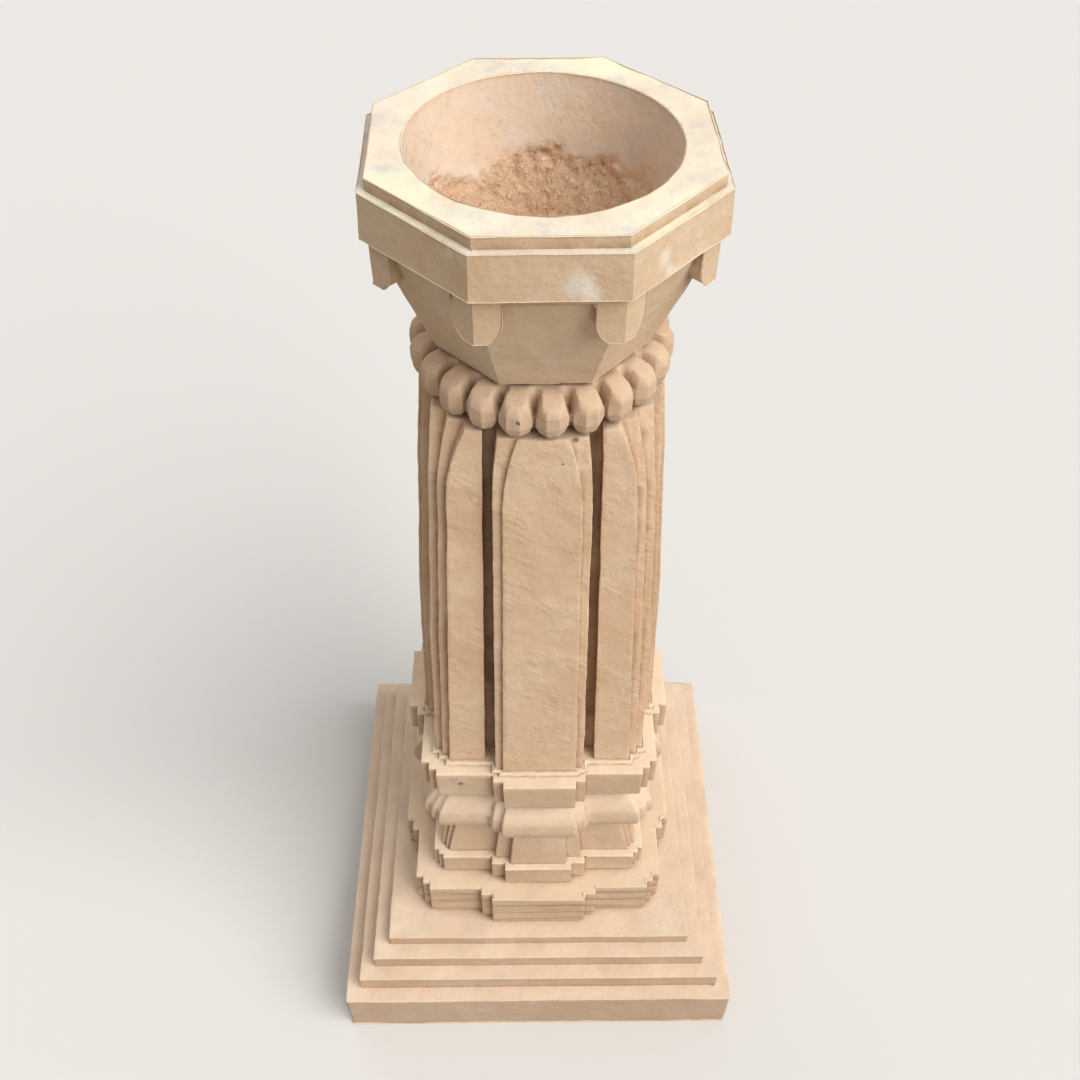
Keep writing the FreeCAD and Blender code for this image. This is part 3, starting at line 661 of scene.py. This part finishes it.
def halving(count):
    """The numbers from 1 to count - 1, with the middle of each span before its halves."""
    order = []
    spans = [(0, count)]
    while spans:
        low, high = spans.pop(0)
        if high - low > 1:
            middle = (low + high) // 2
            order.append(middle)
            spans += [(low, middle), (middle, high)]
    return order


def slice_grid(block, cell, sliver=SLIVER):
    """Cut the faces into a grid with straight slices, the coarse ones first, which is far quicker.

    Slivers that the slices leave are closed up. A sliver of 0 keeps them, which suits a block
    whose own small faces have to stay whole, such as the wall of a drain.
    """
    spots = [v.co.copy() for v in block.data.vertices]
    lows = [min(spot[axis] for spot in spots) for axis in range(3)]
    sizes = [max(spot[axis] for spot in spots) - lows[axis] for axis in range(3)]
    cuts = []
    for axis in range(3):
        count = max(1, round(sizes[axis] / cell))
        order = halving(count)
        for place, number in enumerate(order):
            cuts.append((place / len(order), axis, (number - OFF_MIDDLE) / count))
    select_only(block)
    bpy.ops.object.mode_set(mode="EDIT")
    for _, axis, share in sorted(cuts):
        place = Vector((0, 0, 0))
        place[axis] = lows[axis] + sizes[axis] * share
        facing = Vector((0, 0, 0))
        facing[axis] = 1
        bpy.ops.mesh.select_all(action="SELECT")
        bpy.ops.mesh.bisect(plane_co=place, plane_no=facing)
    bpy.ops.mesh.select_all(action="SELECT")
    if sliver:
        bpy.ops.mesh.dissolve_degenerate(threshold=sliver)
    bpy.ops.object.mode_set(mode="OBJECT")


print("a row of 8 is cut in the order", halving(8))

# %% Weather and rubbing stone
WAVE_SIZE = 48 * MM
DENT_SIZE = 14 * MM
CHIP_SIZE = 9 * MM
CHIP_SHIFT = Vector((3, 5, 7))
CHIP_FROM = 0.70
CHIP_SPAN = 0.30
RUBBED = 0.5             # how far each round moves a corner towards its neighbours
GROUND = CAD_BOX[0].z + 0.5 * MM     # what lies lower stands on the ground


def clamp(share):
    """A share held between 0 and 1."""
    return max(0.0, min(1.0, share))


def lift_of(place, size):
    """Smooth noise from 0 to 1 at a place, with lumps of the given size."""
    return 0.5 + 0.5 * noise.noise(place / size)


def weather(block, arris, wave, dent, chip):
    """Press the skin inwards: long waves, shallow dents, and chips along the arrises.

    The underside of the lowest stone is left flat, because it stands on the ground.
    """
    inward = [v.normal.copy() for v in block.data.vertices]
    for vertex, normal, share in zip(block.data.vertices, inward, arris):
        place = vertex.co
        depth = wave * lift_of(place, WAVE_SIZE) + dent * lift_of(place, DENT_SIZE)
        nick = lift_of(place + CHIP_SHIFT, CHIP_SIZE) - CHIP_FROM
        if share and nick > 0:
            depth += chip * nick / CHIP_SPAN
        if place.z > GROUND:
            vertex.co = place - normal * depth
    block.data.update()


def rub_down(block, low, high, rounds, within=math.inf):
    """Soften what lies between two levels and near the axis, as with a rubbing stone."""
    select_only(block)
    bpy.ops.object.mode_set(mode="EDIT")
    bpy.ops.mesh.select_mode(type="VERT")
    bpy.ops.mesh.select_all(action="DESELECT")
    bpy.ops.object.mode_set(mode="OBJECT")
    for vertex in block.data.vertices:
        near = math.hypot(vertex.co.x, vertex.co.y) < within
        vertex.select = near and low < vertex.co.z < high
    bpy.ops.object.mode_set(mode="EDIT")
    bpy.ops.mesh.vertices_smooth(factor=RUBBED, repeat=rounds)
    bpy.ops.object.mode_set(mode="OBJECT")


print("waves of", round(WAVE_SIZE / MM), "mm, dents of", round(DENT_SIZE / MM), "mm and chips of",
      round(CHIP_SIZE / MM), "mm")

# %% Dress a block and hand it in
ARRIS_CUTS = 2
SOFT_EDGE = math.radians(38)


def dress(node, name, width, cell, wave, dent, chip, sliver=SLIVER):
    """The dressed copy of a block, before its material. A width of zero leaves out the bevel."""
    block = welded_copy(node, name)
    if width:
        weigh_arrises(block)
        apply(block, "BEVEL", width=width, segments=ARRIS_CUTS, limit_method="WEIGHT",
              material=ARRIS_SLOT, use_clamp_overlap=True)
    slice_grid(block, cell, sliver)
    mark_folds(block, "corner", -1)
    if not width:
        mark_folds(block, "arris", 1)
    apply(block, "SUBSURF", subdivision_type="SIMPLE", levels=1, render_levels=1)
    weather(block, arris_shares(block), wave, dent, chip)
    return block


def hand_in(block, node, material):
    """Give a finished piece its material, its smooth shading and its place in the frame."""
    block.data.materials.clear()
    block.data.materials.append(material)
    select_only(block)
    bpy.ops.object.shade_smooth_by_angle(angle=SOFT_EDGE)
    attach(block, "root")
    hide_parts(node)
    block.data.calc_loop_triangles()
    print(block.name, "has", len(block.data.loop_triangles), "triangles")


print("faces within", round(math.degrees(SOFT_EDGE)), "degrees are shaded as one")

# %% [markdown]
# ## Plinth
#
# The plinth is one square block with four steps. Its treads are a little wavy and its edges are
# worn round, because it stands where feet and brooms reach it. The true block is welded, bevelled
# and weathered, with the widest arrises of all the stones.

# %% Plinth
plinth = dress("plinth", "dressed_plinth", width=2.6 * MM, cell=9 * MM,
               wave=1.8 * MM, dent=0.9 * MM, chip=2.2 * MM)
plinth_stone = sandstone("trodden_sandstone", chisel=0.3,
                         face="D1B89F", tan="C6A98C", dust_and_light="E3CAB0", dirt_and_shade="9A6F54")
hand_in(plinth, "plinth", plinth_stone)

# %% [markdown]
# ## Base slab
#
# The slab was cut by a blade and never rubbed down: level saw lines run right round it. They are
# too fine to model one by one, so the material draws them as noise that is stretched level, in
# colour and in bump.

# %% Base slab
slab = dress("base_slab", "sawn_slab", width=2.0 * MM, cell=8 * MM,
             wave=1.4 * MM, dent=0.9 * MM, chip=2.6 * MM)
slab_stone = sandstone("sawn_sandstone", saw=1.0, paler_tops=0.9,
                       face="DCC0A2", tan="CDAE8E", dust_and_light="E6CDB0", dirt_and_shade="86644A")
hand_in(slab, "base_slab", slab_stone)

# %% [markdown]
# ## Pedestal
#
# Foot, splay, roll, neck and cap are carved from one block. The roll was rubbed down until it
# felt round, and its ends with it. Smoothing the skin between the roll's two levels does the
# same, where a bevel would only cut more flats.

# %% Pedestal
ROLL_FOOT = 95 * MM        # both measured from the pedestal's underside
ROLL_HEAD = 153 * MM
ROLL_ROUNDS = 16
CAP_CHIP = (-82, -123, 388, 3.5)

pedestal = dress("pedestal", "moulded_pedestal", width=1.9 * MM, cell=8 * MM,
                 wave=1.3 * MM, dent=0.9 * MM, chip=2.4 * MM)
pedestal_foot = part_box("pedestal")[0].z
rub_down(pedestal, pedestal_foot + ROLL_FOOT, pedestal_foot + ROLL_HEAD, ROLL_ROUNDS)
pedestal_stone = sandstone("moulded_sandstone", chisel=0.35, marks=[CAP_CHIP],
                           face="DEC4A9", tan="D0B08F", dust_and_light="EBD5BA", dirt_and_shade="82624A")
hand_in(pedestal, "pedestal", pedestal_stone)

# %% [markdown]
# ## Shaft
#
# The shaft has a panel on each face between two deep grooves, and corner strips whose tops lean
# in like nested arches. Light dressing strokes run over the panels, and the grooves are painted
# dark, partly for dirt and partly as painted shade.

# %% Shaft
HEAD_PIT = (24, -96, 846.6, 3.0)
PANEL_PIT = (15, -101, 825, 1.6)
SCARS = [(63, -92, 795, 1.9), (65, -92, 790, 2.1), (66, -93, 785, 1.7), (-54, -93, 778, 1.8)]

shaft = dress("shaft", "fluted_shaft", width=1.6 * MM, cell=8 * MM,
              wave=1.4 * MM, dent=0.9 * MM, chip=2.2 * MM)
shaft_stone = sandstone("dressed_sandstone", chisel=0.8, paler_tops=0.8,
                        marks=[HEAD_PIT, PANEL_PIT], splashes=SCARS,
                        face="E8CAAB", tan="DAB793", dust_and_light="EED4B5", dirt_and_shade="75543D")
hand_in(shaft, "shaft", shaft_stone)

# %% [markdown]
# ## Bead ring
#
# Each bead was cut with a flat chisel as a barrel of long flats, by eye, so no two are quite
# alike. Their crowns fall away outwards, and the gaps between them run on over the top, up to the
# bowl. The ring could be modelled bead by bead, but its true block already has the flats. It is
# rubbed down a little, its crown is cut, and a small change of reach and girth makes every bead
# its own.

# %% Where each bead falls away
BEADS = 22
PITCH = math.tau / BEADS
BEAD_TURN = math.radians(4.1)
BOWL_FOOT = 81 * MM        # the bowl covers the ring within this reach
CORE = 88.5 * MM
OUTER = 106 * MM
CROWN = 18 * MM
CROWN_FALL = 8.5 * MM
GAP_FALL = 17 * MM
GAP_FROM = 0.58            # the share of half a bead's girth where the gap begins
GAP_STEEPNESS = 2.2
GAP_CURVE = 1.4
GAP_FADE = 5
REACH, REACH_CHANGE = 0.95, 0.07
GIRTH, GIRTH_CHANGE = 0.965, 0.03
STRIDE, TRACK = 1.7, (3.1, 0.4)      # the noise is read along a track, a stride for each bead


def carve_bead(spot, top):
    """Where a point of the ring comes to lie once its bead is carved."""
    reach = math.hypot(spot.x, spot.y)
    turn = math.atan2(spot.x, -spot.y) - BEAD_TURN
    number = round(turn / PITCH)
    middle = number * PITCH
    aside = abs(turn - middle) / PITCH * 2
    out = clamp((reach - BOWL_FOOT) / (OUTER - BOWL_FOOT))
    gap = clamp((aside - GAP_FROM) * GAP_STEEPNESS) ** GAP_CURVE
    fall = CROWN_FALL * out ** 2 + GAP_FALL * gap * clamp(out * GAP_FADE)
    change = noise.noise(Vector((number * STRIDE, *TRACK)))
    if reach > CORE:
        reach = CORE + (reach - CORE) * (REACH + REACH_CHANGE * change)
        turn = middle + (turn - middle) * (GIRTH + GIRTH_CHANGE * change)
    turn += BEAD_TURN
    level = spot.z - fall * clamp((spot.z - top + CROWN) / CROWN)
    return Vector((reach * math.sin(turn), -reach * math.cos(turn), level))


print(BEADS, "beads, one every", round(math.degrees(PITCH), 1), "degrees")

# %% Bead ring
BEAD_PIT = (-19, -104, 870, 1.8)
SOFT_CROWN = 0.7           # the share of the crown that is rubbed down again
RING_ROUNDS, CROWN_ROUNDS = 3, 5

beads = dress("bead_ring", "carved_beads", width=0, cell=3.8 * MM,
              wave=0.6 * MM, dent=0.9 * MM, chip=0, sliver=0)
ring_foot, ring_top = (corner.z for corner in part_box("bead_ring"))
rub_down(beads, ring_foot, ring_top + MM, RING_ROUNDS)
rub_down(beads, ring_top - CROWN * SOFT_CROWN, ring_top + MM, CROWN_ROUNDS)
for vertex in beads.data.vertices:
    if math.hypot(vertex.co.x, vertex.co.y) > BOWL_FOOT:
        vertex.co = carve_bead(vertex.co, ring_top)
beads.data.update()
bead_stone = sandstone("bead_sandstone", paler_tops=0.2, chisel=0.4, marks=[BEAD_PIT],
                       face="DBBFA2", tan="CBA988", dust_and_light="E6CEB2", dirt_and_shade="634431")
hand_in(beads, "bead_ring", bead_stone)

# %% [markdown]
# ## Bowl
#
# The outside of the bowl is dressed like the other stones. Its hollow is not: the upper wall is
# fairly smooth, and below a ragged line the mason roughed the bottom out with a point chisel and
# left it. That relief is several millimetres deep and shows from a step away, so it is modelled
# and not only drawn.

# %% Dress the bowl
HOLLOW = 97.5 * MM
WALL_FOOT = 979.5 * MM     # where the wall turns into the floor
WALL_SOFT = 9 * MM
WALL_ROUNDS = 14

bowl = dress("bowl", "hollowed_bowl", width=1.9 * MM, cell=7.6 * MM,
             wave=1.2 * MM, dent=0.8 * MM, chip=2.4 * MM, sliver=0)
foot_level, rim_level = (corner.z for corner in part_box("bowl"))
rub_down(bowl, WALL_FOOT - WALL_SOFT, WALL_FOOT + WALL_SOFT, WALL_ROUNDS, HOLLOW)
print("the bowl stands from", round(foot_level / MM, 1), "to", round(rim_level / MM, 1), "mm")

# %% Find the hollow and its rough bottom
FLOOR_RISE = 45 * MM       # everything in the hollow lies higher than this over the bowl's foot
INWARD = 0.25              # a face of the hollow leans outwards by less than this
ROUGH_BELOW = 52 * MM      # under the rim, on average
RAGGED_SIZE, RAGGED_REACH = 34 * MM, 32 * MM
FRAYED_SIZE, FRAYED_REACH = 9 * MM, 7 * MM
FADE_SIZE, FADE_LEAST, FADE_MORE = 22 * MM, 4, 18
DRAIN = Vector((0, 12, 938)) * MM      # its mouth, in the floor of the hollow
SPLIT = 1.9 * MM           # longer edges in the rough bottom are halved


def hollow_shares(block):
    """For each vertex, whether it lies in the hollow, and how far in its roughed-out bottom."""
    inside, rough = [], []
    for vertex in block.data.vertices:
        place, normal = vertex.co, vertex.normal
        reach = math.hypot(place.x, place.y)
        leans_in = normal.x * place.x + normal.y * place.y < INWARD * reach
        between = foot_level + FLOOR_RISE < place.z < rim_level - MM
        in_hollow = reach < HOLLOW and leans_in and between
        ragged = RAGGED_REACH * (lift_of(place, RAGGED_SIZE) - 0.5)
        frayed = FRAYED_REACH * noise.noise(place / FRAYED_SIZE)
        fade = (FADE_LEAST + FADE_MORE * lift_of(place + DRAIN, FADE_SIZE) ** 2) * MM
        below = (rim_level - ROUGH_BELOW + (ragged + frayed) - place.z) / fade
        inside.append(1.0 if in_hollow else 0.0)
        rough.append(clamp(below) if in_hollow else 0.0)
    return inside, rough


def split_long_edges(block, shares, length):
    """Halve the edges that are longer than a length where both ends have a share."""
    select_only(block)
    bpy.ops.object.mode_set(mode="EDIT")
    bpy.ops.mesh.select_mode(type="EDGE")
    bpy.ops.mesh.select_all(action="DESELECT")
    bpy.ops.object.mode_set(mode="OBJECT")
    spots = [vertex.co for vertex in block.data.vertices]
    for edge in block.data.edges:
        first, second = edge.vertices
        long = (spots[first] - spots[second]).length > length
        edge.select = long and shares[first] > 0 and shares[second] > 0
    bpy.ops.object.mode_set(mode="EDIT")
    bpy.ops.mesh.subdivide(number_cuts=1)
    bpy.ops.object.mode_set(mode="OBJECT")


split_long_edges(bowl, hollow_shares(bowl)[1], SPLIT)
inside, rough = hollow_shares(bowl)
for name, shares in (("hollow", inside), ("rough", rough)):
    bowl.data.attributes.new(name, "FLOAT", "POINT").data.foreach_set("value", shares)
print(sum(share > 0 for share in rough), "corners lie in the rough bottom")

# %% Rough out the bottom
RIDGE_SIZE, RIDGE_DEPTH = 19 * MM, 4.2                 # depths in millimetres
SCOOP_SIZE, SCOOP_DEPTH = 13 * MM, 2.6
SCOOP_TILT, SCOOP_STEEPNESS = 0.3, 1.5
CRUMB_SIZE, CRUMB_DEPTH = 7 * MM, 2.8
CRUMB_SCALES, CRUMB_FADE = 4, 0.7
STANDS_PROUD = 1.0
LAYERING = 2.2             # the rock breaks along its beds, so the noise is flattened
DRAIN_KERB = 24 * MM       # the relief fades towards the drain


def chiselled(place):
    """How deep the point chisel went at a place in the bottom."""
    layered = Vector((place.x, place.y, place.z * LAYERING))
    ridged = 1 - abs(noise.noise(layered / RIDGE_SIZE)) * 2
    nearest = noise.voronoi((place + layered * SCOOP_TILT) / SCOOP_SIZE)[0][0]
    scoop = 1 - clamp(nearest * SCOOP_STEEPNESS) ** 2
    crumbs = noise.turbulence(place / CRUMB_SIZE, CRUMB_SCALES, True, amplitude_scale=CRUMB_FADE)
    near_drain = min(1.0, (place - DRAIN).length / DRAIN_KERB)
    depth = RIDGE_DEPTH * ridged + SCOOP_DEPTH * scoop + CRUMB_DEPTH * crumbs - STANDS_PROUD
    return depth * MM * near_drain


facing = [vertex.normal.copy() for vertex in bowl.data.vertices]
for vertex, normal, share in zip(bowl.data.vertices, facing, rough):
    if share:
        vertex.co -= normal * chiselled(vertex.co) * share
bowl.data.update()
print("ridges, scoops and crumbs are up to", [RIDGE_DEPTH, SCOOP_DEPTH, CRUMB_DEPTH], "mm deep")

# %% Bowl
SPLASHES = [(21, -127, 1008, 9), (30, -127, 1001, 6), (78, -103, 1012, 6), (84, -100, 1000, 5)]

bowl_stone = sandstone("bleached_sandstone", chisel=0.35, smudge=1.0, splashes=SPLASHES,
                       broken="F0C8A3",
                       face="E0C5A6", tan="D3B38F", dust_and_light="F0E4CF", dirt_and_shade="80614A")
hand_in(bowl, "bowl", bowl_stone)

# %% [markdown]
# ## Mortar
#
# The beds are lime mortar, paler than the stone, matt and crumbly. Under the shaft the mortar was
# squeezed out by the weight and left as a ragged fillet round the foot. It is modelled from its
# true bed: the top is inset to the line of the shaft, that line is raised, and noise makes it
# ragged.

# %% Lime mortar
CRUMBS = {"Scale": 1 / (6 * MM), "Detail": 4.0}

mortar, tree = new_material("lime_mortar")
coords = add(tree, "TexCoord").outputs["Object"]
crumbs = add(tree, "TexNoise", {"Vector": coords, **CRUMBS})
tone = add(tree, "Mix", {0: crumbs, 6: linear("D6BC9D"), 7: linear("EFDCC2")}, data_type="RGBA")
bump = add(tree, "Bump", {"Height": crumbs, "Strength": 0.7, "Distance": 1.2 * MM})
shader = add(tree, "BsdfPrincipled", {"Base Color": tone, "Roughness": 0.95, "Normal": bump})
add(tree, "OutputMaterial", {"Surface": shader})
for node in ("bed_under_slab", "bed_under_pedestal", "bed_under_beads", "bed_under_bowl"):
    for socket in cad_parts[node].material_slots:
        socket.material = mortar
print("mortar:", mortar.name)

# %% Squeezed mortar under the shaft
SQUEEZE = 3.3 * MM
FILLET = 2.0 * MM
LIP = 0.3 * MM
MORTAR_CELL = 7 * MM
LUMP, LUMP_DEPTH = 8 * MM, 2.2                         # the depth in millimetres
SINK_SIZE, SINK_GAIN, SINK_LESS = 7 * MM, 1.6, 0.2
TOP_REACH = 0.5 * MM
LEVEL = 0.9                # a face looks up if its normal rises by more than this


def select_top(block, level):
    """Select the faces that lie at a level and look up, and go on in edit mode."""
    bpy.ops.object.mode_set(mode="OBJECT")
    for face in block.data.polygons:
        face.select = abs(face.center.z - level) < WELD and face.normal.z > LEVEL
    bpy.ops.object.mode_set(mode="EDIT")


bed = welded_copy("bed_under_shaft", "squeezed_mortar")
top_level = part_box("bed_under_shaft")[1].z
select_only(bed)
bpy.ops.object.mode_set(mode="EDIT")
bpy.ops.mesh.select_mode(type="FACE")
bpy.ops.mesh.select_all(action="DESELECT")
select_top(bed, top_level)
bpy.ops.mesh.inset(thickness=SQUEEZE)
bpy.ops.transform.translate(value=(0, 0, FILLET))
bpy.ops.mesh.inset(thickness=LIP)
bpy.ops.transform.translate(value=(0, 0, -FILLET))
bpy.ops.object.mode_set(mode="OBJECT")
slice_grid(bed, MORTAR_CELL)
apply(bed, "SUBSURF", subdivision_type="SIMPLE", levels=1, render_levels=1)
facing = [vertex.normal.copy() for vertex in bed.data.vertices]
for vertex, normal in zip(bed.data.vertices, facing):
    place = vertex.co.copy()
    if place.z > top_level - TOP_REACH:
        share = clamp(SINK_GAIN * lift_of(place, SINK_SIZE) - SINK_LESS)
        vertex.co.z = place.z - max(0.0, place.z - top_level) * share
    outward = Vector((normal.x, normal.y, 0))
    vertex.co -= outward * LUMP_DEPTH * MM * lift_of(place, LUMP)
bed.data.update()
hand_in(bed, "bed_under_shaft", mortar)

# %% [markdown]
# ## Dowels and grout
#
# Mild steel bars and cement grout are sealed in the stone. They do not show, but they get the
# finish of the real things, since a part may be taken apart. Drawn steel has fine streaks along
# the bar, and grout is grey and sandy.

# %% Drawn mild steel
STREAKS = (900.0, 900.0, 30.0)     # about a millimetre across and 30 times as long

steel, tree = new_material("mild_steel_bar")
coords = add(tree, "TexCoord").outputs["Object"]
drawn = add(tree, "Mapping", {"Vector": coords, "Scale": STREAKS})
streaks = add(tree, "TexNoise", {"Vector": drawn, "Scale": 1.0})
tone = add(tree, "Mix", {0: streaks, 6: linear("6E6A66"), 7: linear("A7A4A0")}, data_type="RGBA")
dull = add(tree, "MapRange", {"Value": streaks, "To Min": 0.35, "To Max": 0.6})
shader = add(tree, "BsdfPrincipled", {"Base Color": tone, "Metallic": 1.0, "Roughness": dull})
add(tree, "OutputMaterial", {"Surface": shader})
print("steel:", steel.name)

# %% Cement grout
SAND = {"Scale": 1 / (2 * MM), "Detail": 3.0}

grout, tree = new_material("cement_grout")
coords = add(tree, "TexCoord").outputs["Object"]
sand = add(tree, "TexNoise", {"Vector": coords, **SAND})
tone = add(tree, "Mix", {0: sand, 6: linear("8E8A83"), 7: linear("B9B5AC")}, data_type="RGBA")
bump = add(tree, "Bump", {"Height": sand, "Strength": 0.5, "Distance": 0.4 * MM})
shader = add(tree, "BsdfPrincipled", {"Base Color": tone, "Roughness": 0.92, "Normal": bump})
add(tree, "OutputMaterial", {"Surface": shader})
for joint in ("base", "shaft", "bowl"):
    for piece, material in (("dowel_", steel), ("grout_", grout)):
        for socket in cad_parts[piece + joint].material_slots:
            socket.material = material
print("grout:", grout.name)
